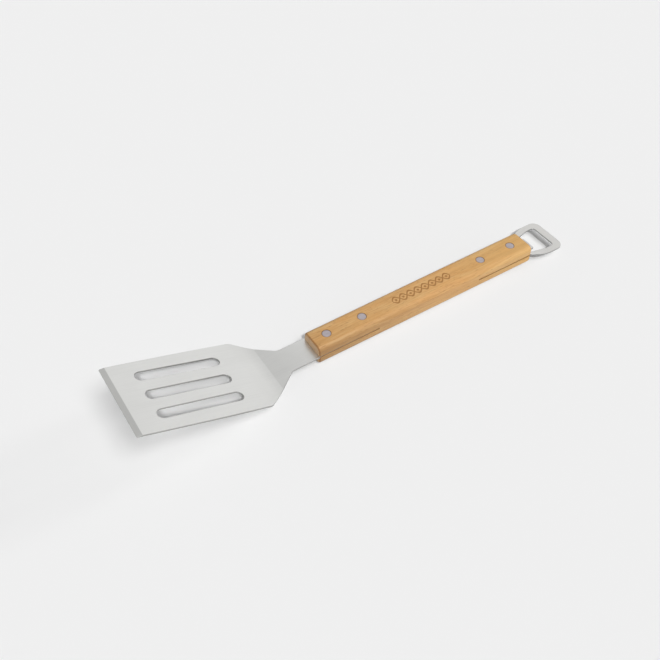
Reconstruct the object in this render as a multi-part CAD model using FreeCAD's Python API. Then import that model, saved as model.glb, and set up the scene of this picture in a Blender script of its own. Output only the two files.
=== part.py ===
import FreeCAD, Part
import math
import os

# Grill spatula with a bottle opener at its butt, in millimetres.
# X runs along the tool, from the front edge of the blade (-X) to the opener (+X).
# Y = 0 is the plane of symmetry. Z = 0 is the underside of the handle, on which the tool lies.
# The origin is the bottom centre of the whole tool's box.

# Handle: one bar of wood, wider towards the butt, with a saw kerf in each end.
handle_length = 245.0
handle_front_width = 25.6
handle_butt_width = 27.5
handle_thickness = 20.6
handle_long_edge_radius = 5.2
handle_end_edge_radius = 2.2
kerf_past_rivet = 10.7
kerf_clearance = 0.05

# Blade: one sheet, blanked, pierced and ground at the front. It turns up from the neck in two
# stages, a crisp crease and then a soft sweep, and is flat from there to its front edge.
sheet_thickness = 1.5
blade_length = 129.9
blade_tilt = 20.3
crease_angle = 10.0
crease_radius = 3.0
crease_to_sweep = 6.4
sweep_radius = 50.0
blade_front_width = 75.2
blade_rear_width = 79.2
blade_side_bulge = 0.4
blade_corner_radius = 0.8
blade_shoulder_radius = 6.5
blade_shoulder_from_sweep = 11.0
bevel_width = 4.5
bevel_edge_thickness = 0.4

# Neck: the flat waist between the handle and the blade.
neck_length = 43.8
neck_width = 26.6
neck_straight_length = 27.4
neck_flare_radius = 9.0
tang_side_inset = 0.5
tang_end_gap = 3.0

# Drain slots in the blade.
slot_count = 3
slot_length = 76.0
slot_width = 10.2
slot_pitch = 21.4
slot_front_margin = 23.2

# Bottle opener: a flat plate with a loop and a lifting tooth beside the handle.
opener_thickness = 1.5
opener_reach = 36.8
opener_width = 42.8
opener_root_width = 27.2
opener_shoulder_reach = 13.4
opener_shoulder_radius = 26.0
opener_corner_radius = 8.0
opener_tang_width = 16.0
loop_bar_width = 7.9
loop_end_width = 29.8
loop_waist_width = 28.6
loop_waist_reach = 18.2
loop_root_width = 21.4
loop_root_reach = 2.2
loop_corner_radius = 3.2
loop_waist_radius = 12.0
tooth_reach = 9.1
tooth_tip_width = 15.2
tooth_root_width = 16.8
tooth_tip_radius = 1.4
tooth_root_radius = 1.0

# Compression rivets: a headed sleeve from above and a headed pin pressed into it from below.
rivet_front_inset = 15.6
rivet_butt_inset = 17.6
rivet_spacing = 37.5
rivet_head_diameter = 8.2
rivet_head_thickness = 1.2
rivet_sleeve_diameter = 4.8
rivet_pin_diameter = 3.2
rivet_hole_clearance = 0.1
rivet_head_clearance = 0.05
rivet_pin_clearance = 0.02
rivet_end_gap = 0.8

# Places worked out from the sizes above.
tilt = math.radians(blade_tilt)
crease_turn = math.radians(crease_angle)
mid_z = handle_thickness / 2
blade_reach = blade_length * math.cos(tilt)
crease_reach = crease_to_sweep * math.cos(crease_turn)
overall_length = blade_reach + crease_reach + neck_length + handle_length + opener_reach
front_x = -overall_length / 2
sweep_x = front_x + blade_reach
sweep_z = mid_z + crease_to_sweep * math.sin(crease_turn)
crease_x = sweep_x + crease_reach
handle_front_x = crease_x + neck_length
handle_butt_x = handle_front_x + handle_length
first_front_rivet_x = handle_front_x + rivet_front_inset
last_butt_rivet_x = handle_butt_x - rivet_butt_inset
blade_rivets = [first_front_rivet_x, first_front_rivet_x + rivet_spacing]
opener_rivets = [last_butt_rivet_x - rivet_spacing, last_butt_rivet_x]
blade_kerf_depth = rivet_front_inset + rivet_spacing + kerf_past_rivet
opener_kerf_depth = rivet_butt_inset + rivet_spacing + kerf_past_rivet
# Cutting solids run this far past the faces that they cut.
overrun = 10.0


def mirrored_prism(upper_points, low_z, high_z):
    """Upright prism over an outline given by its +Y half and mirrored in Y = 0."""
    lower_points = [(x, -y) for x, y in reversed(upper_points)]
    corners = [FreeCAD.Vector(x, y, low_z) for x, y in upper_points + lower_points]
    outline = Part.makePolygon(corners + corners[:1])
    return Part.Face(outline).extrude(FreeCAD.Vector(0, 0, high_z - low_z))


def round_upright_edges(solid, x, half_width, radius):
    """Fillet the upright edges at (x, half_width) and (x, -half_width)."""
    chosen = []
    for edge in solid.Edges:
        low = edge.Vertexes[0].Point
        high = edge.Vertexes[-1].Point
        upright = abs(low.x - high.x) < 1e-6 and abs(low.y - high.y) < 1e-6
        at_corner = abs(low.x - x) < 1e-3 and abs(abs(low.y) - half_width) < 1e-3
        if upright and at_corner:
            chosen.append(edge)
    return solid.makeFillet(radius, chosen)


def rivet_holes(places, diameter):
    """Upright cylinders through the whole handle, one at each rivet."""
    height = handle_thickness + 2 * overrun
    holes = []
    for x in places:
        foot = FreeCAD.Vector(x, 0, -overrun)
        holes.append(Part.makeCylinder(diameter / 2, height, foot))
    return holes


def forward(turn):
    """Unit vector towards the front along the sheet where it has turned up by this angle."""
    return FreeCAD.Vector(-math.cos(turn), 0, math.sin(turn))


def outward(turn):
    """Unit vector out of the sheet's upper face where it has turned up by this angle."""
    return FreeCAD.Vector(math.sin(turn), 0, math.cos(turn))


def bend_arc(corner, start_turn, end_turn, radius, drop):
    """Start, middle and end of a bend's arc, as far below the sheet's middle as the drop says."""
    tangent_length = radius * math.tan((end_turn - start_turn) / 2)
    centre = corner - forward(start_turn) * tangent_length + outward(start_turn) * radius
    points = []
    for turn in (start_turn, (start_turn + end_turn) / 2, end_turn):
        points.append(centre - outward(turn) * (radius + drop))
    return points


def make_blade():
    """Bent sheet: its side profile is stretched across Y and trimmed to the plan outline."""
    half = sheet_thickness / 2
    crease_point = FreeCAD.Vector(crease_x, 0, mid_z)
    sweep_point = FreeCAD.Vector(sweep_x, 0, sweep_z)
    tang_end_x = handle_front_x + blade_kerf_depth - tang_end_gap

    under_crease = bend_arc(crease_point, 0, crease_turn, crease_radius, half)
    under_sweep = bend_arc(sweep_point, crease_turn, tilt, sweep_radius, half)
    upper_crease = bend_arc(crease_point, 0, crease_turn, crease_radius, -half)
    upper_sweep = bend_arc(sweep_point, crease_turn, tilt, sweep_radius, -half)
    # The bevel runs on past the front edge to a sharp nose, which the plan outline cuts off.
    bevel_start = sweep_point + forward(tilt) * (blade_length - bevel_width) + outward(tilt) * half
    bevel_slope = (sheet_thickness - bevel_edge_thickness) / bevel_width
    nose_length = blade_length + bevel_edge_thickness / bevel_slope
    nose = sweep_point + forward(tilt) * nose_length - outward(tilt) * half
    tang_low = FreeCAD.Vector(tang_end_x, 0, mid_z - half)
    tang_high = FreeCAD.Vector(tang_end_x, 0, mid_z + half)
    profile = Part.Wire([
        Part.LineSegment(tang_low, under_crease[0]).toShape(),
        Part.Arc(*under_crease).toShape(),
        Part.LineSegment(under_crease[2], under_sweep[0]).toShape(),
        Part.Arc(*under_sweep).toShape(),
        Part.LineSegment(under_sweep[2], nose).toShape(),
        Part.LineSegment(nose, bevel_start).toShape(),
        Part.LineSegment(bevel_start, upper_sweep[2]).toShape(),
        Part.Arc(*upper_sweep[::-1]).toShape(),
        Part.LineSegment(upper_sweep[0], upper_crease[2]).toShape(),
        Part.Arc(*upper_crease[::-1]).toShape(),
        Part.LineSegment(upper_crease[0], tang_high).toShape(),
        Part.LineSegment(tang_high, tang_low).toShape(),
    ])
    stretch = blade_rear_width + 2 * overrun
    sheet = Part.Face(profile).extrude(FreeCAD.Vector(0, stretch, 0))
    sheet.translate(FreeCAD.Vector(0, -stretch / 2, 0))

    sheet = sheet.common(blade_outline(tang_end_x))
    sheet = sheet.cut(drain_slots(sweep_point))
    hole_diameter = rivet_sleeve_diameter + 2 * rivet_hole_clearance
    return sheet.cut(rivet_holes(blade_rivets, hole_diameter))


def blade_outline(tang_end_x):
    """Upright prism over the plan of tang, neck and blade, with slightly bowed blade sides."""
    low_z = -overrun
    high_z = mid_z + blade_length + overrun
    tang_half = handle_front_width / 2 - tang_side_inset
    shoulder_x = sweep_x - blade_shoulder_from_sweep
    waist_x = handle_front_x - neck_straight_length
    front_half = blade_front_width / 2
    rear_half = blade_rear_width / 2
    side_middle_x = (front_x + shoulder_x) / 2
    side_middle_y = (front_half + rear_half) / 2 + blade_side_bulge

    def point(x, y):
        return FreeCAD.Vector(x, y, low_z)

    edges = []
    for side in (1, -1):
        front_corner = point(front_x, side * front_half)
        side_middle = point(side_middle_x, side * side_middle_y)
        shoulder = point(shoulder_x, side * rear_half)
        waist = point(waist_x, side * neck_width / 2)
        stop = point(handle_front_x, side * neck_width / 2)
        tang_root = point(handle_front_x, side * tang_half)
        tang_end = point(tang_end_x, side * tang_half)
        edges.append(Part.LineSegment(point(front_x, 0), front_corner).toShape())
        edges.append(Part.Arc(front_corner, side_middle, shoulder).toShape())
        run = [shoulder, waist, stop, tang_root, tang_end, point(tang_end_x, 0)]
        for start, end in zip(run, run[1:]):
            edges.append(Part.LineSegment(start, end).toShape())
    outline = Part.Wire(Part.sortEdges(edges)[0])
    prism = Part.Face(outline).extrude(FreeCAD.Vector(0, 0, high_z - low_z)).removeSplitter()
    prism = round_upright_edges(prism, front_x, front_half, blade_corner_radius)
    prism = round_upright_edges(prism, shoulder_x, rear_half, blade_shoulder_radius)
    return round_upright_edges(prism, waist_x, neck_width / 2, neck_flare_radius)


def drain_slots(sweep_point):
    """Round-ended cutters, square to the tilted blade and evenly spaced about its middle."""
    radius = slot_width / 2
    front_centre = -(blade_length - slot_front_margin - radius)
    rear_centre = front_centre + slot_length - slot_width
    height = 2 * overrun
    turned = FreeCAD.Rotation(FreeCAD.Vector(0, 1, 0), blade_tilt)
    slots = []
    for number in range(slot_count):
        y = (number - (slot_count - 1) / 2) * slot_pitch
        corner = FreeCAD.Vector(front_centre, y - radius, -overrun)
        slot = Part.makeBox(rear_centre - front_centre, slot_width, height, corner)
        for x in (front_centre, rear_centre):
            slot = slot.fuse(Part.makeCylinder(radius, height, FreeCAD.Vector(x, y, -overrun)))
        slot = slot.removeSplitter()
        slot.Placement = FreeCAD.Placement(sweep_point, turned)
        slots.append(slot)
    return slots


def make_handle():
    """Tapered bar with rounded edges, a kerf in each end and counterbored rivet holes."""
    plan = [(handle_front_x, handle_front_width / 2), (handle_butt_x, handle_butt_width / 2)]
    bar = mirrored_prism(plan, 0, handle_thickness)
    long_edges = []
    for edge in bar.Edges:
        if abs(edge.Vertexes[0].Point.x - edge.Vertexes[-1].Point.x) > handle_length / 2:
            long_edges.append(edge)
    bar = bar.makeFillet(handle_long_edge_radius, long_edges)
    end_edges = []
    for end_x in (handle_front_x, handle_butt_x):
        for edge in bar.Edges:
            box = edge.BoundBox
            if abs(box.XMin - end_x) < 1e-3 and abs(box.XMax - end_x) < 1e-3:
                end_edges.append(edge)
    bar = bar.makeFillet(handle_end_edge_radius, end_edges)

    kerfs = [
        (handle_front_x - overrun, blade_kerf_depth, sheet_thickness),
        (handle_butt_x - opener_kerf_depth, opener_kerf_depth, opener_thickness),
    ]
    for low_x, depth, plate_thickness in kerfs:
        kerf_height = plate_thickness + 2 * kerf_clearance
        corner = FreeCAD.Vector(low_x, -handle_butt_width, mid_z - kerf_height / 2)
        kerf = Part.makeBox(depth + overrun, 2 * handle_butt_width, kerf_height, corner)
        bar = bar.cut(kerf)

    places = blade_rivets + opener_rivets
    bar = bar.cut(rivet_holes(places, rivet_sleeve_diameter + 2 * rivet_hole_clearance))
    counterbore_radius = rivet_head_diameter / 2 + rivet_head_clearance
    counterbore_depth = rivet_head_thickness + overrun
    for x in places:
        for low_z in (-overrun, handle_thickness - rivet_head_thickness):
            foot = FreeCAD.Vector(x, 0, low_z)
            bar = bar.cut(Part.makeCylinder(counterbore_radius, counterbore_depth, foot))
    return bar


def make_bottle_opener():
    """Flat plate: tang in the butt kerf, flared loop, and a tooth that lifts the cap's edge."""
    low_z = mid_z - opener_thickness / 2
    high_z = mid_z + opener_thickness / 2
    tang_end_x = handle_butt_x - opener_kerf_depth + tang_end_gap
    shoulder_x = handle_butt_x + opener_shoulder_reach
    end_x = handle_butt_x + opener_reach
    outline = [
        (tang_end_x, opener_tang_width / 2),
        (handle_butt_x, opener_tang_width / 2),
        (handle_butt_x, opener_root_width / 2),
        (shoulder_x, opener_width / 2),
        (end_x, opener_width / 2),
    ]
    plate = mirrored_prism(outline, low_z, high_z)
    plate = round_upright_edges(plate, shoulder_x, opener_width / 2, opener_shoulder_radius)
    plate = round_upright_edges(plate, end_x, opener_width / 2, opener_corner_radius)

    loop_root_x = handle_butt_x + loop_root_reach
    loop_waist_x = handle_butt_x + loop_waist_reach
    loop_end_x = end_x - loop_bar_width
    tooth_x = handle_butt_x + tooth_reach
    loop_outline = [
        (tooth_x, tooth_tip_width / 2),
        (loop_root_x, tooth_root_width / 2),
        (loop_root_x, loop_root_width / 2),
        (loop_waist_x, loop_waist_width / 2),
        (loop_end_x, loop_end_width / 2),
    ]
    loop = mirrored_prism(loop_outline, low_z - overrun, high_z + overrun)
    loop = round_upright_edges(loop, tooth_x, tooth_tip_width / 2, tooth_tip_radius)
    loop = round_upright_edges(loop, loop_root_x, tooth_root_width / 2, tooth_root_radius)
    loop = round_upright_edges(loop, loop_root_x, loop_root_width / 2, tooth_root_radius)
    loop = round_upright_edges(loop, loop_waist_x, loop_waist_width / 2, loop_waist_radius)
    loop = round_upright_edges(loop, loop_end_x, loop_end_width / 2, loop_corner_radius)
    hole_diameter = rivet_sleeve_diameter + 2 * rivet_hole_clearance
    return plate.cut([loop] + rivet_holes(opener_rivets, hole_diameter))


def make_rivet_sleeve(x):
    """Upper half of a rivet: a flush head over a tube that reaches down through the plate."""
    head_z = handle_thickness - rivet_head_thickness
    tube_z = rivet_head_thickness + rivet_end_gap
    head = Part.makeCylinder(rivet_head_diameter / 2, rivet_head_thickness, FreeCAD.Vector(x, 0, head_z))
    tube_foot = FreeCAD.Vector(x, 0, tube_z)
    tube = Part.makeCylinder(rivet_sleeve_diameter / 2, head_z - tube_z, tube_foot)
    bore = Part.makeCylinder(rivet_pin_diameter / 2 + rivet_pin_clearance, head_z - tube_z, tube_foot)
    return head.fuse(tube).cut(bore).removeSplitter()


def make_rivet_pin(x):
    """Lower half of a rivet: a flush head and the pin that fills the sleeve."""
    pin_height = handle_thickness - rivet_head_thickness - rivet_end_gap
    head = Part.makeCylinder(rivet_head_diameter / 2, rivet_head_thickness, FreeCAD.Vector(x, 0, 0))
    pin = Part.makeCylinder(rivet_pin_diameter / 2, pin_height, FreeCAD.Vector(x, 0, 0))
    return head.fuse(pin).removeSplitter()


def main():
    pieces = {
        "blade": make_blade(),
        "handle": make_handle(),
        "bottle_opener": make_bottle_opener(),
    }
    for number, x in enumerate(blade_rivets + opener_rivets, start=1):
        pieces[f"rivet_{number}_sleeve"] = make_rivet_sleeve(x)
        pieces[f"rivet_{number}_pin"] = make_rivet_pin(x)

    os.makedirs("parts", exist_ok=True)
    for name, shape in pieces.items():
        solid = shape.Solids[0]
        print(name, "solids", len(shape.Solids), "valid", solid.isValid(), "volume", round(solid.Volume, 1))
        solid.exportStep(f"parts/{name}.step")


main()
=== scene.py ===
import bpy
import math
import numpy as np
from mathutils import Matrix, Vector


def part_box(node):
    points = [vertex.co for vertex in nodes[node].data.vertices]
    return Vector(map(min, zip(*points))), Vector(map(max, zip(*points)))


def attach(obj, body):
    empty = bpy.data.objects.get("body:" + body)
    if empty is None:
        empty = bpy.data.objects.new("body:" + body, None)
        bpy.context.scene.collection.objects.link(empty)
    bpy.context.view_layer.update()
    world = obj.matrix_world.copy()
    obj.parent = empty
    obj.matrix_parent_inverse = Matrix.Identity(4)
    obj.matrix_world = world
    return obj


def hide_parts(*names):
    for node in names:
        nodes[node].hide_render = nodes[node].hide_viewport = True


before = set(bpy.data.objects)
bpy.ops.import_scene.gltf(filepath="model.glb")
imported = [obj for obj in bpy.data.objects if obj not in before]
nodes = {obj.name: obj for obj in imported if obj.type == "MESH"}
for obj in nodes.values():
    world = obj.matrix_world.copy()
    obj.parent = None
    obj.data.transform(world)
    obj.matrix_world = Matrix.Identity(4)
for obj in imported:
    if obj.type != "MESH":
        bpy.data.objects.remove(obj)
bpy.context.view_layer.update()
print("frame loaded:", len(nodes), "CAD nodes")

# places of the pieces along the tool, in millimetres, taken from the frame
handleFrontX, handleButtX = (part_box("handle")[side][0] * 1000 for side in (0, 1))
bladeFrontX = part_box("blade")[0][0] * 1000
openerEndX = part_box("bottle_opener")[1][0] * 1000
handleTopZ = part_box("handle")[1][2] * 1000
middleZ = handleTopZ / 2
rivetX = [sum(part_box(f"rivet_{n}_sleeve")[side][0] for side in (0, 1)) * 500 for n in (1, 2, 3, 4)]
creaseX = handleFrontX - 43.8   # the crisp bend at the neck's front end
tangPastRivet = 7.7             # both tangs reach this far past their inner rivet
tangRound = 0.5                 # corners where a plate narrows to its tang
boreRadius = 2.5                # rivet holes in both plates


def linearColour(hexText, gain=1.0):
    # sRGB hex to linear RGBA
    parts = [int(hexText[i:i + 2], 16) / 255 for i in (1, 3, 5)]
    linear = [c / 12.92 if c <= 0.04045 else ((c + 0.055) / 1.055) ** 2.4 for c in parts]
    return tuple(min(1.0, c * gain) for c in linear) + (1.0,)


def addNode(tree, kind, settings=None, inputs=(), stops=()):
    # Adds one node. settings are its own options, or only its operation. inputs are numbers, colours,
    # outputs, or nodes whose first live output is meant. stops are a colour ramp's (place, colour) pairs.
    node = tree.nodes.new("ShaderNode" + kind)
    if isinstance(settings, str):
        settings = {"operation": settings}
    for name, value in (settings or {}).items():
        setattr(node, name, value)
    for socket, part in (inputs if isinstance(inputs, dict) else dict(enumerate(inputs))).items():
        if isinstance(part, bpy.types.Node):
            part = next(output for output in part.outputs if output.enabled)
        if isinstance(part, bpy.types.NodeSocket):
            tree.links.new(part, node.inputs[socket])
        else:
            node.inputs[socket].default_value = part
    for number, (place, colour) in enumerate(stops):
        ramp = node.color_ramp.elements
        element = ramp[number] if number < len(ramp) else ramp.new(place)
        element.position, element.color = place, colour
    return node


# a colour mix takes its share on socket 0 and its two colours on sockets 6 and 7
mixing = {"data_type": "RGBA", "blend_type": "MIX"}
multiplying = {"data_type": "RGBA", "blend_type": "MULTIPLY"}


def newMaterial(name):
    material = bpy.data.materials.new(name)
    material.use_nodes = True
    tree = material.node_tree
    tree.nodes.clear()
    return material, tree


def finishMaterial(tree, inputs):
    shader = addNode(tree, "BsdfPrincipled", None, inputs)
    addNode(tree, "OutputMaterial", None, {"Surface": shader})


def stretchedNoise(tree, coords, size, detail=3.0, rough=0.55, offset=(0.0, 0.0, 0.0)):
    # noise whose grains measure size = (x, y, z) metres
    scale = tuple(1.0 / s for s in size)
    mapped = addNode(tree, "Mapping", None, {"Location": offset, "Scale": scale, "Vector": coords})
    return addNode(tree, "TexNoise", None, {"Scale": 1.0, "Detail": detail, "Roughness": rough,
                                            "Vector": mapped}).outputs["Fac"]


def brushedStainless(name, look):
    # Streaks and a few darker hairlines along the sheet, over slow clouds of tone. Sheet coordinates run
    # along and across the flat blank in metres, so that the brushing follows its bends. Real grit lines
    # are finer than these, which are drawn as coarse as they need to show.
    material, tree = newMaterial(name)
    sheet = addNode(tree, "UVMap", {"uv_map": "sheet"}).outputs[0]
    streakSize, hairlineSize = [tuple(mm / 1000 for mm in look[part]) for part in ("streakMm", "hairlineMm")]
    streaks = stretchedNoise(tree, sheet, streakSize, 4.0, 0.6)
    hairlines = stretchedNoise(tree, sheet, hairlineSize, 2.0, 0.5, (0.3, 0.1, 0))
    clouds = stretchedNoise(tree, sheet, (0.045, 0.03, 1.0), 2.0, 0.5)
    streakPart = addNode(tree, "Math", "MULTIPLY", [streaks, 0.6])
    cloudPart = addNode(tree, "Math", "MULTIPLY", [clouds, 0.4])
    tone = addNode(tree, "Math", "ADD", [streakPart, cloudPart])
    stops = [(0.30, linearColour(look["colour"], 0.94)), (0.70, linearColour(look["colour"], 1.05))]
    colour = addNode(tree, "ValToRGB", None, [tone], stops)
    scratched = addNode(tree, "MapRange", None, [hairlines, 0.66, 0.74, 0.0, 0.10])
    colour = addNode(tree, "Mix", mixing, {0: scratched, 6: colour, 7: linearColour(look["hairlineColour"])})
    if "paintedReflectionStops" in look:
        # painted reflection: how bright the sheet is painted along its length, darkest just past the crease,
        # in place of how each stretch reflects the room
        along = addNode(tree, "SeparateXYZ", None, [sheet]).outputs["X"]
        low, high = look["paintedReflectionStops"][0][0], look["paintedReflectionStops"][-1][0]
        place = addNode(tree, "MapRange", None, [along, low / 1000, high / 1000, 0.0, 1.0])
        stops = [((mm - low) / (high - low), (level,) * 3 + (1.0,)) for mm, level in look["paintedReflectionStops"]]
        reflectionPaint = addNode(tree, "ValToRGB", None, [place], stops)
        colour = addNode(tree, "Mix", multiplying, {0: 1.0, 6: colour, 7: reflectionPaint})
    smooth, coarse = look["roughness"] - 0.05, look["roughness"] + 0.07
    rough = addNode(tree, "MapRange", None, [streaks, 0.3, 0.7, smooth, coarse])
    bump = addNode(tree, "Bump", None, {"Strength": 0.10, "Distance": 0.0001, "Height": streaks})
    finishMaterial(tree, {"Metallic": 1.0, "Base Color": colour, "Roughness": rough, "Normal": bump})
    return material


def rivetDistance(tree):
    # how far a point lies from the axis of the nearest rivet
    coords = addNode(tree, "TexCoord").outputs["Object"]
    x, y = addNode(tree, "SeparateXYZ", None, [coords]).outputs[:2]
    along = 1.0
    for rivet in rivetX:
        aside = addNode(tree, "Math", "SUBTRACT", [x, rivet / 1000])
        offset = addNode(tree, "Math", "ABSOLUTE", [aside])
        along = addNode(tree, "Math", "MINIMUM", [offset, along])
    reach = addNode(tree, "CombineXYZ", None, [along, y])
    return addNode(tree, "VectorMath", "LENGTH", [reach]).outputs["Value"]


def oiledWood(name, look):
    material, tree = newMaterial(name)
    coords = addNode(tree, "TexCoord").outputs["Object"]
    x, y, z = addNode(tree, "SeparateXYZ", None, [coords]).outputs
    facing = addNode(tree, "NewGeometry").outputs["Normal"]
    faceX, faceY, faceZ = [addNode(tree, "Math", "ABSOLUTE", [part]) for part in
                           addNode(tree, "SeparateXYZ", None, [facing]).outputs]
    # the grain wanders up to 4 mm aside over a hand's breadth
    drift = stretchedNoise(tree, coords, (0.08, 0.04, 0.04), 1.0)
    wander = addNode(tree, "MapRange", None, [drift, 0.0, 1.0, -0.004, 0.004])
    grainY = addNode(tree, "Math", "ADD", [y, wander])
    grainZ = addNode(tree, "Math", "ADD", [z, wander])
    grain = addNode(tree, "CombineXYZ", None, [x, grainY, grainZ])
    bands = stretchedNoise(tree, grain, (0.13, 0.0060, 0.0060), 2.0, 0.5)
    patches = stretchedNoise(tree, grain, (0.030, 0.0060, 0.0060), 2.0, 0.5, (0.2, 0.0, 0.0))
    fibres = stretchedNoise(tree, grain, (0.022, 0.0013, 0.0013), 4.0, 0.65)
    pores = stretchedNoise(tree, grain, (0.0060, 0.0008, 0.0008), 1.0, 0.5)
    bandPart = addNode(tree, "Math", "MULTIPLY", [bands, 0.45])
    fibrePart = addNode(tree, "Math", "MULTIPLY", [fibres, 0.55])
    tone = addNode(tree, "Math", "ADD", [bandPart, fibrePart])
    stops = [(place, linearColour(colour)) for place, colour in look["grainStops"]]
    colour = addNode(tree, "ValToRGB", None, [tone], stops)
    warmth = addNode(tree, "MapRange", None, [patches, 0.50, 0.70, 0.0, 0.45])
    colour = addNode(tree, "Mix", mixing, {0: warmth, 6: colour, 7: linearColour(look["warmColour"])})
    flecks = addNode(tree, "MapRange", None, [pores, 0.60, 0.74, 0.0, 0.50])
    colour = addNode(tree, "Mix", mixing, {0: flecks, 6: colour, 7: linearColour(look["poreColour"])})

    # yellower towards the butt; painted shade makes it darker towards the blade, and more so on the sides
    # than on top
    place = addNode(tree, "MapRange", None, [x, handleFrontX / 1000, handleButtX / 1000, 0.0, 1.0])
    yellowing = addNode(tree, "MapRange", None, [place, 0.6, 1.0, 0.0, 0.35])
    colour = addNode(tree, "Mix", mixing, {0: yellowing, 6: colour, 7: linearColour(look["buttColour"])})
    onSide = addNode(tree, "MapRange", None, [faceZ, 0.55, 0.98, 1.0, 0.0])
    for stopsName, share in (("paintedLengthShadeStops", 1.0), ("paintedSideShadeStops", onSide)):
        levels = [(at, (level, level * 1.01, level * 1.03, 1.0)) for at, level in look[stopsName]]
        shade = addNode(tree, "ValToRGB", None, [place], levels)
        colour = addNode(tree, "Mix", multiplying, {0: share, 6: colour, 7: shade})

    # end grain in thin layers, paler than the wood along the grain, partly the wood's own and partly painted
    # highlight for the light the end faces catch; the rounded edges round each end are darker
    layers = stretchedNoise(tree, coords, (0.002, 0.008, 0.0008), 3.0, 0.6)
    stops = [(0.3, linearColour(look["endDark"])), (0.7, linearColour(look["endPale"]))]
    ends = addNode(tree, "ValToRGB", None, [layers], stops)
    onEnd = addNode(tree, "MapRange", None, [faceX, 0.75, 0.95, 0.0, 1.0])
    colour = addNode(tree, "Mix", mixing, {0: onEnd, 6: colour, 7: ends})
    fromEdge = addNode(tree, "Math", "ABSOLUTE", [addNode(tree, "Math", "SUBTRACT", [faceX, 0.55])])
    onEdge = addNode(tree, "MapRange", None, [fromEdge, 0.10, 0.35, 1.0, 0.0])
    onEdge = addNode(tree, "Math", "MULTIPLY", [onEdge, 0.6])
    colour = addNode(tree, "Mix", multiplying, {0: onEdge, 6: colour, 7: linearColour(look["edgeColour"])})

    # painted shade in the saw kerfs, where the slot round each tang lies in shadow, and a darker ring round
    # each rivet
    offMiddle = addNode(tree, "Math", "ABSOLUTE", [addNode(tree, "Math", "SUBTRACT", [z, middleZ / 1000])])
    nearKerf = addNode(tree, "Math", "LESS_THAN", [offMiddle, 0.0013])
    notSide = addNode(tree, "MapRange", None, [faceY, 0.4, 0.6, 0.5, 0.0])
    kerfShadePart = addNode(tree, "Math", "MULTIPLY", [nearKerf, notSide])
    inner, outer = (mm / 1000 for mm in look["ringMm"])
    ringPart = addNode(tree, "MapRange", None, [rivetDistance(tree), inner, outer, 0.85, 0.0])
    dark = addNode(tree, "Math", "MAXIMUM", [kerfShadePart, ringPart])
    colour = addNode(tree, "Mix", mixing, {0: dark, 6: colour, 7: linearColour(look["kerfShadeRingColour"])})

    # burnt-in ornament: two waves that cross in a chain of links, with a dot in each link
    mark = look["ornament"]
    start, length = (rivetX[0] + mark["fromRivet"]) / 1000, mark["length"] / 1000
    run = addNode(tree, "Math", "SUBTRACT", [x, start])
    phase = addNode(tree, "Math", "MULTIPLY", [run, 2 * math.pi * mark["waves"] / length])
    wave = addNode(tree, "Math", "MULTIPLY", [addNode(tree, "Math", "SINE", [phase]), mark["height"] / 2000])
    burn = 0.0
    for sign in ("SUBTRACT", "ADD"):
        off = addNode(tree, "Math", "ABSOLUTE", [addNode(tree, "Math", sign, [y, wave])])
        stroke = addNode(tree, "MapRange", None, [off, 0.0006, 0.0012, 1.0, 0.0])
        burn = addNode(tree, "Math", "MAXIMUM", [burn, stroke])
    link = length / mark["waves"] / 2
    inLink = addNode(tree, "Math", "FLOORED_MODULO", [run, link])
    toMiddle = addNode(tree, "Math", "SUBTRACT", [inLink, link / 2])
    toSpot = addNode(tree, "CombineXYZ", None, [toMiddle, y])
    spotReach = addNode(tree, "VectorMath", "LENGTH", [toSpot]).outputs["Value"]
    spot = addNode(tree, "MapRange", None, [spotReach, 0.0009, 0.0015, 1.0, 0.0])
    burn = addNode(tree, "Math", "MAXIMUM", [burn, spot])
    limits = (("GREATER_THAN", run, 0.0), ("LESS_THAN", run, length), ("GREATER_THAN", z, middleZ / 1000),
              ("GREATER_THAN", faceZ, 0.9))
    for operation, part, limit in limits:
        inside = addNode(tree, "Math", operation, [part, limit])
        burn = addNode(tree, "Math", "MULTIPLY", [burn, inside])
    uneven = addNode(tree, "MapRange", None, [fibres, 0.3, 0.7, mark["strength"], 1.0])
    burn = addNode(tree, "Math", "MULTIPLY", [burn, uneven])
    colour = addNode(tree, "Mix", mixing, {0: burn, 6: colour, 7: linearColour(mark["colour"])})

    # in the light that it throws on the table the wood is greyer, so that white paper stays white
    bounce = addNode(tree, "LightPath").outputs["Is Diffuse Ray"]
    bounce = addNode(tree, "Math", "MULTIPLY", [bounce, 0.85])
    colour = addNode(tree, "Mix", mixing, {0: bounce, 6: colour, 7: linearColour(look["bounceColour"])})
    rough = addNode(tree, "MapRange", None, [fibres, 0.3, 0.7, 0.5, 0.62])
    height = addNode(tree, "Math", "SUBTRACT", [fibres, addNode(tree, "Math", "MULTIPLY", [burn, 0.8])])
    bump = addNode(tree, "Bump", None, {"Strength": 0.25, "Distance": 0.0002, "Height": height})
    finishMaterial(tree, {"Metallic": 0.0, "Base Color": colour, "Roughness": rough, "Normal": bump})
    return material


def satinAluminium(name, look):
    material, tree = newMaterial(name)
    coords = addNode(tree, "TexCoord").outputs["Object"]
    sanding = stretchedNoise(tree, coords, (0.006, 0.0005, 0.0005), 3.0, 0.6)
    stops = [(0.3, linearColour(look["dark"])), (0.7, linearColour(look["pale"]))]
    colour = addNode(tree, "ValToRGB", None, [sanding], stops)
    inner, outer = (mm / 1000 for mm in look["rimMm"])
    rim = addNode(tree, "MapRange", None, [rivetDistance(tree), inner, outer, 0.0, 0.55])
    colour = addNode(tree, "Mix", mixing, {0: rim, 6: colour, 7: linearColour(look["rimColour"])})
    rough = addNode(tree, "MapRange", None, [sanding, 0.3, 0.7, 0.36, 0.5])
    bump = addNode(tree, "Bump", None, {"Strength": 0.15, "Distance": 0.0001, "Height": sanding})
    finishMaterial(tree, {"Metallic": 1.0, "Base Color": colour, "Roughness": rough, "Normal": bump})
    return material


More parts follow.
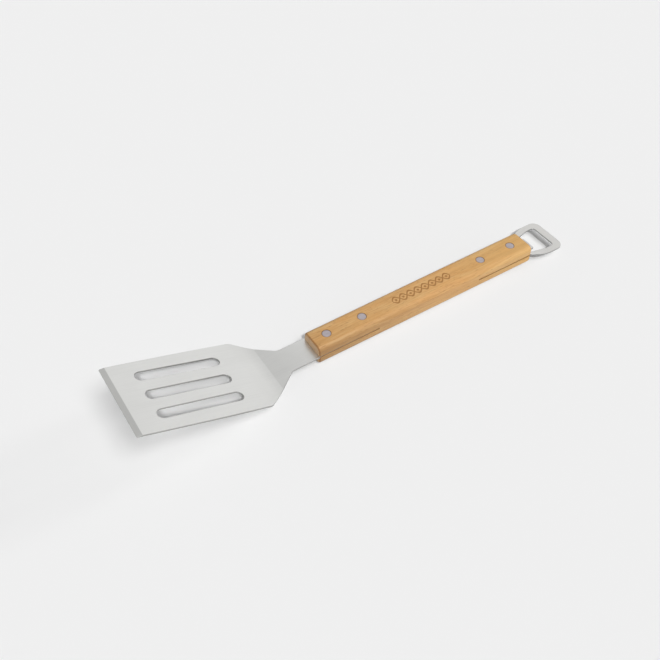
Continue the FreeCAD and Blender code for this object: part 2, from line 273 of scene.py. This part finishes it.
# stainless sheet, rolled and brushed lengthwise: an even soft sheen with long faint streaks
bladeSteelLook = {
    "colour": "#d0d0ce",
    "hairlineColour": "#8c8c8a",
    "streakMm": (38.0, 0.9, 1.0),
    "hairlineMm": (16.0, 0.25, 1.0),
    "roughness": 0.34,
    # painted reflection along the sheet: darker round the crease and over the neck's first stretch
    "paintedReflectionStops": [(creaseX - 130, 0.99), (creaseX - 22, 1.0), (creaseX - 2, 0.94), (creaseX - 0.3, 0.93),
                   (creaseX + 0.3, 0.88), (creaseX + 12, 0.90), (creaseX + 36, 1.0)],
}
# the same steel ground to an edge on a belt: greyer than the sheet, with short coarse scratches
bevelSteelLook = {
    "colour": "#b5b5b3",
    "hairlineColour": "#8c8c8a",
    "streakMm": (3.0, 0.5, 1.0),
    "hairlineMm": (4.0, 0.2, 1.0),
    "roughness": 0.36,
}
# its cut edge, punched and deburred and nearly matt; its darker colour is partly painted shade, so that each
# outline reads as the dark line that a shaded edge makes
edgeSteelLook = {
    "colour": "#a4a4a2",
    "hairlineColour": "#8c8c8a",
    "streakMm": (1.2, 0.6, 1.0),
    "hairlineMm": (0.8, 0.3, 1.0),
    "roughness": 0.42,
}
# stainless plate, punched and tumbled: the blade's sheen with much shorter streaks
openerSteelLook = {
    "colour": "#cecdca",
    "hairlineColour": "#8c8c8a",
    "streakMm": (9.0, 0.7, 1.0),
    "hairlineMm": (7.0, 0.25, 1.0),
    "roughness": 0.34,
}
# beech, planed, sanded and oiled: warm long bands, fine fibres, short dark flecks, and hardly any gloss
woodLook = {
    "grainStops": [(0.32, "#bb894e"), (0.50, "#cb9b60"), (0.68, "#dab27a")],
    "warmColour": "#d29a58",
    "poreColour": "#94683a",
    "buttColour": "#cfaa66",
    # painted shade: darker towards the blade end, and darker still on the sides
    "paintedLengthShadeStops": [(0.0, 0.84), (0.08, 0.90), (0.25, 0.94), (0.40, 0.96), (0.50, 1.0), (1.0, 1.0)],
    "paintedSideShadeStops": [(0.0, 0.72), (0.25, 0.80), (0.55, 0.93), (1.0, 1.0)],
    "endDark": "#b18d66",
    # partly painted highlight on the end faces
    "endPale": "#d3b28c",
    "edgeColour": "#b89470",
    "bounceColour": "#8f8c89",
    # colour of the painted shade in the kerfs, and of the ring round each rivet
    "kerfShadeRingColour": "#6e4b2c",
    "ringMm": (4.15, 4.75),
    "ornament": {"fromRivet": 71.0, "length": 66.0, "height": 7.6, "waves": 4, "strength": 0.75,
                 "colour": "#93632c"},
}
# soft aluminium, sanded flush with the wood: a dull grey sheen with fine scratches and a darker rim
rivetMetalLook = {"dark": "#a39b9e", "pale": "#b8b0b3", "rimColour": "#6f6765", "rimMm": (3.3, 4.1)}
bladeSteel = brushedStainless("brushed_stainless_blade", bladeSteelLook)
groundSteel = brushedStainless("ground_stainless_bevel", bevelSteelLook)
edgeSteel = brushedStainless("sheared_and_shaded_stainless_edge", edgeSteelLook)
openerSteel = brushedStainless("brushed_stainless_opener", openerSteelLook)
handleWood = oiledWood("oiled_beech", woodLook)
rivetMetal = satinAluminium("satin_aluminium", rivetMetalLook)
print("materials done")


def addPiece(name, points, normals, faces, nodeNames, materials, faceMaterial=None, uv=None):
    # points in millimetres, one normal for each point; faces are lists of point numbers
    mesh = bpy.data.meshes.new(name)
    mesh.from_pydata((points / 1000).tolist(), [], faces)
    for material in materials:
        mesh.materials.append(material)
    mesh.polygons.foreach_set("use_smooth", np.ones(len(faces), bool))
    if faceMaterial is not None:
        mesh.polygons.foreach_set("material_index", faceMaterial)
    corners = np.empty(len(mesh.loops), int)
    mesh.loops.foreach_get("vertex_index", corners)
    if uv is not None:
        mesh.uv_layers.new(name="sheet").data.foreach_set("uv", (uv[corners] / 1000).ravel())
    if normals is None:
        # turned pieces keep their steps crisp and their rims smooth
        mesh.set_sharp_from_angle(angle=math.radians(40))
    else:
        mesh.normals_split_custom_set_from_vertices(normals.tolist())
    piece = bpy.data.objects.new(name, mesh)
    bpy.context.scene.collection.objects.link(piece)
    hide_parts(*nodeNames)
    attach(piece, "root")
    print("piece", name, len(points), "points")


def roundedPath(corners, radii, steps=8):
    # outline through the corners, with an arc of each radius in place of its corner
    path = [corners[0]]
    for before, corner, after, radius in zip(corners, corners[1:], corners[2:], radii):
        a, b, c = (np.array(p, float) for p in (before, corner, after))
        into, out = (b - a) / np.linalg.norm(b - a), (c - b) / np.linalg.norm(c - b)
        turn = math.acos(np.clip(into @ out, -1, 1))
        tangent = radius * math.tan(turn / 2)
        side = np.sign(into[0] * out[1] - into[1] * out[0])
        centre = b - into * tangent + side * radius * np.array([-into[1], into[0]])
        start = b - into * tangent - centre
        angles = side * np.linspace(0, turn, steps + 1)
        path += [tuple(centre + np.array([start[0] * math.cos(t) - start[1] * math.sin(t),
                                          start[0] * math.sin(t) + start[1] * math.cos(t)])) for t in angles]
    return np.array(path + [corners[-1]], float)


def holeHalf(along, first, last, radius):
    # half width of a round-ended slot whose end circles are centred at first and last, closed at its very
    # tips, where it would be a sliver
    beyond = np.maximum(np.maximum(first - along, along - last), 0)
    half = np.sqrt(np.maximum(radius ** 2 - beyond ** 2, 0))
    return np.where(half < 0.1, 0, half)


def boreHalf(along, centre):
    return holeHalf(along, centre, centre, boreRadius)


def roundColumns(centre, radius, steps=8):
    # places along the sheet that a half circle needs, closer together towards its tips
    return centre + radius * np.cos(np.linspace(0, math.pi, 2 * steps + 1))


def gatherColumns(parts, low, high, spacing):
    # every place a feature needs, those that nearly meet taken once, then fillers where a gap is wide
    needed = np.concatenate([np.atleast_1d(p) for p in parts] + [[low, high]])
    needed = np.unique(np.clip(np.round(needed, 4), low, high))
    kept = needed[np.concatenate([[True], np.diff(needed) > 0.015])]
    kept[-1] = high
    filled = [np.linspace(a, b, max(1, round((b - a) / spacing)) + 1)[:-1] for a, b in zip(kept, kept[1:])]
    return np.concatenate(filled + [[high]])


def plateSurface(columns, lines, solid, top, low, rim, rimSteps=4):
    # A plate over strips between lines that run along it. solid says which strips are metal between two
    # columns. The rim turns from the top face to the lower one through a quarter circle at each edge:
    # at turn t the outline lies rim * (1 - sin t) inside the full one, rim * (1 - cos t) off the face.
    count, across = lines.shape
    number = np.arange(count * across).reshape(count, across)
    for k in range(1, across):
        number[:, k] = np.where(lines[:, k] - lines[:, k - 1] < 1e-6, number[:, k - 1], number[:, k])
    a, b = number[:-1, :-1][solid], number[1:, :-1][solid]
    c, d = number[1:, 1:][solid], number[:-1, 1:][solid]
    faces = [tuple(dict.fromkeys(f)) for f in zip(a.tolist(), b.tolist(), c.tolist(), d.tolist())]
    faces = [f for f in faces if len(f) > 2]
    used, inverse = np.unique(np.concatenate([np.array(f) for f in faces]), return_inverse=True)
    cuts = np.cumsum([len(f) for f in faces])[:-1]
    faces = [f.tolist() for f in np.split(inverse, cuts)]
    plan = np.stack([np.repeat(columns, across), lines.ravel()], axis=1)[used]

    edges = {(f[i], f[(i + 1) % len(f)]) for f in faces for i in range(len(f))}
    border = np.array(sorted(e for e in edges if (e[1], e[0]) not in edges))
    step = plan[border[:, 1]] - plan[border[:, 0]]
    out = np.stack([step[:, 1], -step[:, 0]], axis=1) / np.linalg.norm(step, axis=1)[:, None]
    outward = np.zeros_like(plan)
    np.add.at(outward, border[:, 0], out)
    np.add.at(outward, border[:, 1], out)
    ring = np.unique(border)
    outward = outward[ring] / 2
    reach = np.linalg.norm(outward, axis=1)[:, None]
    outward, mitre = outward / reach, 1 / np.maximum(reach, 0.5)

    topAt = np.interp(plan[:, 0], columns, top)
    radius = np.minimum(rim, 0.35 * (topAt[ring] - low))[:, None]
    total, around = len(plan), len(ring)
    inset = plan.copy()
    inset[ring] -= outward * mitre * radius
    flat = np.zeros((total, 3))
    flat[:, 2] = 1
    points = [np.column_stack([inset, topAt])]
    normals = [flat]
    turns = np.linspace(0, math.pi / 2, rimSteps + 1)
    quarter = [(t, topAt[ring][:, None], 1) for t in turns[1:]] + [(t, np.full((around, 1), low), -1)
                                                                  for t in turns[:0:-1]]
    for t, face, sign in quarter:
        planPart = plan[ring] - outward * mitre * radius * (1 - math.sin(t))
        points.append(np.column_stack([planPart, face - sign * radius * (1 - math.cos(t))]))
        normals.append(np.column_stack([outward * math.sin(t), np.full(around, sign * math.cos(t))]))
    points.append(np.column_stack([inset, np.full(total, low)]))
    normals.append(-flat)

    place = np.full(total, -1)
    place[ring] = np.arange(around)
    rings = [ring] + [total + k * around + np.arange(around) for k in range(len(quarter))]
    last = total + len(quarter) * around
    rings.append(last + ring)
    start, end = place[border[:, 0]], place[border[:, 1]]
    rimFaces = [np.column_stack([upper[start], lower[start], lower[end], upper[end]])
                for upper, lower in zip(rings, rings[1:])]
    lowFaces = [[last + v for v in reversed(f)] for f in faces]
    allFaces = faces + lowFaces + np.concatenate(rimFaces).tolist()
    return np.concatenate(points), np.concatenate(normals), allFaces, 2 * len(faces)


bladeLook = {
    "thickness": 1.5,
    "rim": 0.22,
    "frontWidth": 75.2,
    "rearWidth": 79.2,
    "sideBow": 0.4,
    "neckWidth": 26.6,
    "tangWidth": 24.6,
    "tangTaper": 1.5,              # run inside the kerf over which the neck narrows to the tang
    "shoulderFromFront": 110.82,   # along the handle's direction
    "waistFromHandle": 27.4,
    "shoulderRadius": 6.5,
    "waistRadius": 9.0,
    "cornerRadius": 0.8,
    "bevel": 4.5,
    "bevelEdge": 0.4,
    "slotFront": 23.2,
    "slotLength": 76.0,
    "slotWidth": 10.2,
    "slotPitch": 21.4,
    "creaseTurn": 10.0,
    "creaseHalf": 0.26,            # half the length of each bend's arc
    "sweepFromCrease": 6.4,
    "sweepHalf": 4.5,
    "tilt": 20.3,
}


def bladePiece(look):
    half = look["thickness"] / 2
    sweepX = creaseX - look["sweepFromCrease"]
    creaseTurn, tilt = math.radians(look["creaseTurn"]), math.radians(look["tilt"])
    # how far the sheet has turned up at each place along it, added up into its side profile
    startX, endX = creaseX - 160, handleFrontX + 70
    along = np.linspace(startX, endX, 9201)
    sweep, crease = look["sweepHalf"], look["creaseHalf"]
    turn = np.interp(along, [sweepX - sweep, sweepX + sweep, creaseX - crease, creaseX + crease],
                     [tilt, creaseTurn, creaseTurn, 0])
    gap = along[1] - along[0]
    profileX = np.concatenate([[0], np.cumsum((np.cos(turn[1:]) + np.cos(turn[:-1])) / 2 * gap)])
    profileZ = np.concatenate([[0], np.cumsum(-(np.sin(turn[1:]) + np.sin(turn[:-1])) / 2 * gap)])
    profileX += endX - profileX[-1]
    profileZ += middleZ - profileZ[-1]

    # the middle of the sheet at its front edge, a hair behind the CAD's
    frontX = bladeFrontX + half * math.sin(tilt) + 0.02
    front = np.interp(frontX, profileX, along)
    tangEnd = rivetX[1] + tangPastRivet
    shoulderX = bladeFrontX + look["shoulderFromFront"]
    waistX = handleFrontX - look["waistFromHandle"]
    frontHalf, rearHalf, neckHalf = look["frontWidth"] / 2, look["rearWidth"] / 2, look["neckWidth"] / 2
    corner, tangHalf = look["cornerRadius"], look["tangWidth"] / 2
    corners = [(frontX, frontHalf - 2 * corner), (frontX, frontHalf), (shoulderX, rearHalf),
               (waistX, neckHalf), (handleFrontX, neckHalf), (handleFrontX + look["tangTaper"], tangHalf),
               (tangEnd, tangHalf)]
    radii = [corner, look["shoulderRadius"], look["waistRadius"], tangRound, tangRound]
    outline = roundedPath(corners, radii)

    rear = front + look["slotFront"] + look["slotLength"]
    slotRadius = look["slotWidth"] / 2
    ends = (front + look["slotFront"] + slotRadius, rear - slotRadius)
    bevelStart = front + look["bevel"]
    outlineAlong = np.interp(outline[1:, 0], profileX, along)
    rounds = [roundColumns(end, slotRadius) for end in ends]
    rounds += [roundColumns(rivet, boreRadius, 5) for rivet in rivetX[:2]]
    # two close columns keep the bevel's upper line crisp
    bends = [[bevelStart - 0.04, bevelStart + 0.04], np.linspace(sweepX - sweep, sweepX + sweep, 13),
             np.linspace(creaseX - crease, creaseX + crease, 5)]
    columns = gatherColumns([outlineAlong, *rounds, *bends], front, tangEnd, 5.0)
    columnX = np.interp(columns, along, profileX)
    width = np.interp(columnX, outline[1:, 0], outline[1:, 1])
    share = np.clip((columnX - frontX) / (shoulderX - frontX), 0, 1)
    width += look["sideBow"] * 4 * share * (1 - share)
    slot = holeHalf(columns, *ends, slotRadius)
    bore = boreHalf(columns, rivetX[0]) + boreHalf(columns, rivetX[1])
    # the outer lines draw in with the sheet, so that they stay inside it at the neck
    pitch = np.minimum(look["slotPitch"], 0.6 * width)
    centres = np.stack([-pitch, 0 * pitch, pitch], axis=1)
    openings = np.stack([slot, slot + bore, slot], axis=1)
    inner = np.stack([centres - openings, centres + openings], axis=2).reshape(len(columns), 6)
    lines = np.concatenate([-width[:, None], inner, width[:, None]], axis=1)
    solid = np.ones((len(columns) - 1, 7), bool)
    solid[:, 1::2] = False
    drop = 2 * half - look["bevelEdge"]
    top = half - drop * np.clip((bevelStart - columns) / look["bevel"], 0, 1)
    points, normals, faces, rimStart = plateSurface(columns, lines, solid, top, -half, look["rim"])

    # the bevel's own slope, then everything is carried from the flat sheet onto its side profile
    place, across, height = points.T
    onBevel = (normals[:, 2] > 0.1) & (place < bevelStart)
    slope = drop / look["bevel"]
    normals[onBevel] += np.outer(normals[onBevel, 2], [-slope, 0, 0])
    normals /= np.linalg.norm(normals, axis=1)[:, None]
    angle = np.interp(place, along, turn)
    bent = np.column_stack([np.interp(place, along, profileX) + height * np.sin(angle), across,
                            np.interp(place, along, profileZ) + height * np.cos(angle)])
    turned = np.column_stack([normals[:, 0] * np.cos(angle) + normals[:, 2] * np.sin(angle), normals[:, 1],
                              normals[:, 2] * np.cos(angle) - normals[:, 0] * np.sin(angle)])
    faceMaterial = [1 if all(place[v] < bevelStart + 0.01 for v in f) else 0 for f in faces[:rimStart // 2]]
    faceMaterial += [0] * (rimStart // 2) + [2] * (len(faces) - rimStart)
    addPiece("bladeSheet", bent, turned, faces, ["blade"],
             [bladeSteel, groundSteel, edgeSteel], faceMaterial, np.column_stack([place, across]))


openerLook = {
    "thickness": 1.5,
    "rim": 0.30,
    "width": 42.8,
    "rootWidth": 27.2,
    "shoulderReach": 13.4,
    "shoulderRadius": 26.0,
    "cornerRadius": 8.0,
    "tangWidth": 16.0,
    "tangTaper": 3.0,
    "barWidth": 7.9,
    "loopEndWidth": 29.8,
    "loopWaistWidth": 28.6,
    "loopWaistReach": 18.2,
    "loopRootWidth": 21.4,
    "loopRootReach": 2.2,
    "loopCornerRadius": 3.2,
    "loopWaistRadius": 12.0,
    "toothReach": 9.1,
    "toothTipWidth": 15.2,
    "toothRootWidth": 16.8,
    "toothTipRadius": 1.4,
    "toothRootRadius": 1.0,
}


def openerPiece(look):
    half = look["thickness"] / 2
    shoulderX = handleButtX + look["shoulderReach"]
    rootX, toothX = handleButtX + look["loopRootReach"], handleButtX + look["toothReach"]
    waistX, barX = handleButtX + look["loopWaistReach"], openerEndX - look["barWidth"]
    tangEnd = rivetX[2] - tangPastRivet
    widths = {name: look[name] / 2 for name in look if name.endswith("idth")}
    tang, outer = widths["tangWidth"], widths["width"]
    corner, tip = look["cornerRadius"], look["toothTipRadius"]
    rootRound, barRound = look["toothRootRadius"], look["loopCornerRadius"]
    outerPath = roundedPath([(tangEnd, tang), (handleButtX - look["tangTaper"], tang),
                             (handleButtX, widths["rootWidth"]), (shoulderX, outer), (openerEndX, outer),
                             (openerEndX, outer - 2 * corner)],
                            [tangRound, tangRound, look["shoulderRadius"], corner])[:-1]
    loopRoot, loopEnd = widths["loopRootWidth"], widths["loopEndWidth"]
    corners = [(rootX, loopRoot - 2 * rootRound), (rootX, loopRoot), (waistX, widths["loopWaistWidth"]),
               (barX, loopEnd), (barX, loopEnd - 2 * barRound)]
    loopPath = roundedPath(corners, [rootRound, look["loopWaistRadius"], barRound])[1:-1]
    toothRoot, toothTip = widths["toothRootWidth"], widths["toothTipWidth"]
    toothPath = roundedPath([(rootX, toothRoot + 2 * rootRound), (rootX, toothRoot), (toothX, toothTip),
                             (toothX, toothTip - 2 * tip)], [rootRound * 0.8, tip])[1:-1]
    rounds = [roundColumns(rivet, boreRadius, 5) for rivet in rivetX[2:]]
    outlines = [path[:, 0] for path in (outerPath, loopPath, toothPath)]
    columns = gatherColumns(outlines + rounds, tangEnd, openerEndX, 2.5)
    outerLine = np.interp(columns, outerPath[:, 0], outerPath[:, 1])
    loopLine = np.interp(columns, loopPath[:, 0], loopPath[:, 1])
    toothLine = np.interp(columns, toothPath[:, 0], toothPath[:, 1])
    # over the tang the two inner lines draw in, so that they stay inside it
    squeeze = np.minimum(1, 0.8 * outerLine / loopLine)
    loopLine, toothLine = loopLine * squeeze, toothLine * squeeze
    bore = boreHalf(columns, rivetX[2]) + boreHalf(columns, rivetX[3])
    left = np.stack([outerLine, loopLine, toothLine, bore], axis=1)
    lines = np.concatenate([-left, left[:, ::-1]], axis=1)
    middle = (columns[1:] + columns[:-1]) / 2
    closed = (middle < rootX) | (middle > barX)
    tongue = closed | (middle < toothX)
    always = np.ones(len(middle), bool)
    solid = np.stack([always, closed, tongue, ~always, tongue, closed, always], axis=1)
    top = np.full(len(columns), half)
    points, normals, faces, rimStart = plateSurface(columns, lines, solid, top, -half, look["rim"])
    sheet = points[:, :2].copy()
    points[:, 2] += middleZ
    addPiece("openerPlate", points, normals, faces, ["bottle_opener"],
             [openerSteel, edgeSteel], [0] * rimStart + [1] * (len(faces) - rimStart), sheet)


rivetLook = {
    "headWidth": 8.2,
    "headDepth": 1.2,
    "shankWidth": 4.8,
    "dome": 0.10,      # how far the middle of a head stands above its rim
    "rimRadius": 0.30,
    "pinWidth": 3.2,
    "pinClearance": 0.02,
    "endGap": 0.8,     # left free beyond the ends of shank and pin
}


def lathe(profile, steps=64):
    # turns a profile of (radius, height) round the upright axis; its first and last points lie on the axis
    radius, height = np.array(profile).T
    angles = np.linspace(0, 2 * math.pi, steps, endpoint=False)
    rings = np.stack([np.outer(radius[1:-1], np.cos(angles)), np.outer(radius[1:-1], np.sin(angles)),
                      np.repeat(height[1:-1, None], steps, axis=1)], axis=2).reshape(-1, 3)
    points = np.concatenate([rings, [[0, 0, height[0]], [0, 0, height[-1]]]])
    here = np.arange(steps)
    after = (here + 1) % steps
    faces = []
    for row in range(len(radius) - 3):
        upper, lower = row * steps, (row + 1) * steps
        faces += np.column_stack([upper + here, lower + here, lower + after, upper + after]).tolist()
    first = len(rings)
    last = first - steps
    faces += np.column_stack([np.full(steps, first), here, after]).tolist()
    faces += np.column_stack([np.full(steps, first + 1), last + after, last + here]).tolist()
    return points, faces


def headProfile(look):
    # from the middle of the head down over its rim: a shallow parabola, then a quarter circle
    rimRadius = look["rimRadius"]
    flat = look["headWidth"] / 2 - rimRadius
    radius = np.linspace(0, flat, 7)
    dome = list(zip(radius, -look["dome"] * (radius / flat) ** 2))
    turn = np.linspace(0, math.pi / 2, 6)[1:]
    rim = zip(flat + rimRadius * np.sin(turn), -look["dome"] - rimRadius * (1 - np.cos(turn)))
    return dome + list(rim)


def rivetPieces(look):
    head = headProfile(look)
    shank, pin, edge = look["shankWidth"] / 2, look["pinWidth"] / 2, look["headWidth"] / 2
    bore, gap = pin + look["pinClearance"], look["endGap"]
    headZ, endZ = handleTopZ - look["headDepth"], look["headDepth"] + gap
    sleeve = [(r, handleTopZ + z) for r, z in head]
    sleeve += [(edge, headZ), (shank, headZ), (shank, endZ), (bore, endZ), (bore, headZ), (0, headZ)]
    pinProfile = [(0, headZ - gap), (pin, headZ - gap), (pin, look["headDepth"]), (edge, look["headDepth"])]
    pinProfile += [(r, -z) for r, z in reversed(head)]
    for number, x in enumerate(rivetX, start=1):
        for half, profile in (("sleeve", sleeve), ("pin", pinProfile)):
            points, faces = lathe(profile)
            node = f"rivet_{number}_{half}"
            addPiece(f"rivet{number}{half.title()}", points + [x, 0, 0], None, faces, [node],
                     [rivetMetal])


bladePiece(bladeLook)
openerPiece(openerLook)
rivetPieces(rivetLook)
handle = nodes["handle"].data
handle.materials.clear()
handle.materials.append(handleWood)


stageLook = {
    "floorColour": "#f1f1f1",
    "floorSize": 8.0,
    "floorDrop": -0.0002,           # keeps the paper clear of the handle's flat underside
    # each light: W/m2, degrees across, and how far aside it stands per unit of height
    "lights": {
        "key": (1.16, 24.0, (0.12, -0.585)),
        "lowSide": (0.60, 14.0, (3.2, -0.28)),
        "fill": (1.50, 4.0, (-0.235, -0.775)),
    },
    "skyStrength": 1.2,
    "skyStops": [(0.0, 1.12), (0.42, 1.12), (0.50, 1.07), (0.64, 0.98), (0.77, 0.90), (1.0, 0.76)],
    "skyForMatt": 0.23,             # share of the sky's light that falls on matt surfaces
    "targetFromRivet": (0.01473, 0.0172),
    "cameraAzimuth": -32.71,
    "cameraElevation": 48.11,
    "cameraDistance": 0.7093,
    "cameraLens": 42.31,
}


def makeFloor(look):
    half, low = look["floorSize"] / 2, look["floorDrop"]
    corners = [(-half, -half, low), (half, -half, low), (half, half, low), (-half, half, low)]
    mesh = bpy.data.meshes.new("floor")
    mesh.from_pydata(corners, [], [(0, 1, 2, 3)])
    floor = bpy.data.objects.new("floor", mesh)
    bpy.context.scene.collection.objects.link(floor)
    # uncoated white paper: no gloss at all, so that only the soft shadows show on it
    material, tree = newMaterial("matt_white_paper")
    finishMaterial(tree, {"Base Color": linearColour(look["floorColour"]), "Roughness": 0.9,
                          "Specular IOR Level": 0.0})
    mesh.materials.append(material)


def makeWorld(look):
    # the sky is brighter low down than overhead; matt surfaces get only a share of it
    world = bpy.data.worlds.new("studio")
    bpy.context.scene.world = world
    world.use_nodes = True
    tree = world.node_tree
    tree.nodes.clear()
    coords = addNode(tree, "TexCoord").outputs["Generated"]
    height = addNode(tree, "SeparateXYZ", None, [coords]).outputs["Z"]
    full = look["skyStrength"]
    stops = [(place, (level / full,) * 3 + (1.0,)) for place, level in look["skyStops"]]
    sky = addNode(tree, "ValToRGB", None, [height], stops)
    matt = addNode(tree, "LightPath").outputs["Is Diffuse Ray"]
    strength = addNode(tree, "MapRange", None, [matt, 0.0, 1.0, full, full * look["skyForMatt"]])
    background = addNode(tree, "Background", None, {"Color": sky, "Strength": strength})
    addNode(tree, "OutputWorld", None, {"Surface": background})


def makeSun(name, strength, angle, towards):
    data = bpy.data.lights.new(name, "SUN")
    data.energy = strength
    data.angle = math.radians(angle)
    light = bpy.data.objects.new(name, data)
    bpy.context.scene.collection.objects.link(light)
    light.rotation_mode = "QUATERNION"
    light.rotation_quaternion = (-towards).to_track_quat("-Z", "Y")


def makeCamera(look):
    data = bpy.data.cameras.new("camera")
    data.lens = look["cameraLens"]
    data.sensor_width = 36.0
    camera = bpy.data.objects.new("camera", data)
    bpy.context.scene.collection.objects.link(camera)
    azimuth = math.radians(look["cameraAzimuth"])
    elevation = math.radians(look["cameraElevation"])
    back = Vector((math.sin(azimuth) * math.cos(elevation), -math.cos(azimuth) * math.cos(elevation),
                   math.sin(elevation)))
    rivetLow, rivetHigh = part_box("rivet_1_sleeve")
    aheadOfRivet, aside = look["targetFromRivet"]
    target = Vector(((rivetLow[0] + rivetHigh[0]) / 2 + aheadOfRivet, aside, 0.0))
    camera.location = target + back * look["cameraDistance"]
    camera.rotation_mode = "QUATERNION"
    camera.rotation_quaternion = (-back).to_track_quat("-Z", "Y")
    data.clip_start = 0.01
    data.clip_end = 50.0
    bpy.context.scene.camera = camera


makeFloor(stageLook)
makeWorld(stageLook)
makeCamera(stageLook)
for lightName, (strength, angle, sideways) in stageLook["lights"].items():
    makeSun(lightName, strength, angle, Vector((*sideways, 1.0)))
bpy.context.scene.view_settings.view_transform = "Standard"
print("stage done")
